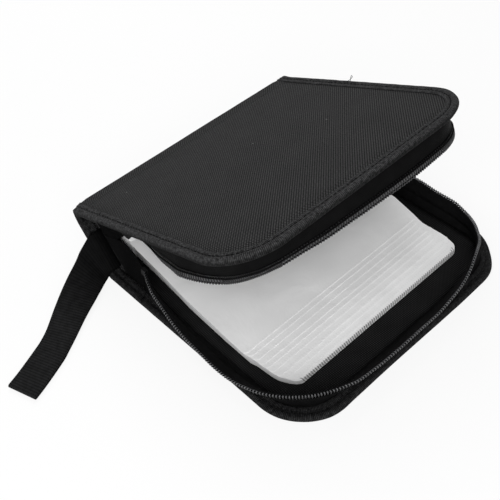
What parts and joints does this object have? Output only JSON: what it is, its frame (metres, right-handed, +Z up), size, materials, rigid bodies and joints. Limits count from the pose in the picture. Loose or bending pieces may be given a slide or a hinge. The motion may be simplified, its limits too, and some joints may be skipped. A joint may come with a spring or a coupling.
{
  "type": "cd storage case",
  "caption": "Zip-round nylon wallet for discs, open: padded base and lid on a flat spine, soft zip walls, film sleeves inside and a wrist strap.",
  "frame": {"origin": "centre of the base cover's underside, on the table", "axes": "+Z up; +X from the spine to the opening edge; the wrist strap leaves the spine's end at -Y, the zip slider sits at its +Y end"},
  "size_m": [0.1772, 0.2401, 0.0922],
  "materials": {
    "shell_nylon": "dark grey ribbed nylon over thin padding",
    "binding_tape": "ribbed black binding tape with a stitched edge",
    "wall_nylon": "plain black nylon",
    "lining_cloth": "fine black twill",
    "stiff_board": "fibre board inside the covers, not seen",
    "zip_coil": "black nylon coil",
    "black_metal": "black enamelled zip metal",
    "sleeve_film": "frosted white sleeve film",
    "strap_webbing": "black webbing with fine cross ribs"
  },
  "bodies": {
    "case_base": {"base_outer_panel": "shell_nylon", "base_edge_binding": "binding_tape", "base_corner_tape_near": "binding_tape", "base_corner_tape_far": "binding_tape", "base_gusset": "wall_nylon", "base_zip_tape": "wall_nylon", "base_lining": "lining_cloth", "base_board": "stiff_board", "base_zip_teeth": "zip_coil", "base_zip_stop": "black_metal", "disc_sleeves": "sleeve_film"},
    "spine": {"spine_outer_panel": "shell_nylon", "spine_end_tape_near": "binding_tape", "spine_end_tape_far": "binding_tape", "spine_lining": "lining_cloth", "spine_board": "stiff_board", "sleeve_strip": "sleeve_film", "wrist_strap": "strap_webbing", "near_end_gusset": "wall_nylon", "far_end_gusset": "wall_nylon", "zip_slider": "black_metal"},
    "lid": {"lid_outer_panel": "shell_nylon", "lid_edge_binding": "binding_tape", "lid_corner_tape_near": "binding_tape", "lid_corner_tape_far": "binding_tape", "lid_gusset": "wall_nylon", "lid_zip_tape": "wall_nylon", "lid_lining": "lining_cloth", "lid_board": "stiff_board", "lid_zip_teeth": "zip_coil", "lid_zip_stop": "black_metal"},
    "pull_tab": {"pull_tab": "black_metal"}
  },
  "joints": [
    {"name": "spine_hinge", "type": "hinge", "parent": "case_base", "child": "spine", "pos_m": [-0.076, 0, 0], "axis": [0, -1, 0], "range_deg": [-20, 57], "deforming": ["near_end_gusset", "far_end_gusset", "sleeve_strip", "wrist_strap"]},
    {"name": "lid_hinge", "type": "hinge", "parent": "spine", "child": "lid", "pos_m": [-0.09902, 0, 0.03832], "axis": [0, -1, 0], "range_deg": [0, 102], "deforming": ["near_end_gusset", "far_end_gusset"]},
    {"name": "tab_hinge", "type": "hinge", "parent": "spine", "child": "pull_tab", "pos_m": [-0.07281, 0.0755, 0.0231], "axis": [-0.3746, 0, 0.9272], "range_deg": [0, 120]}
  ]
}
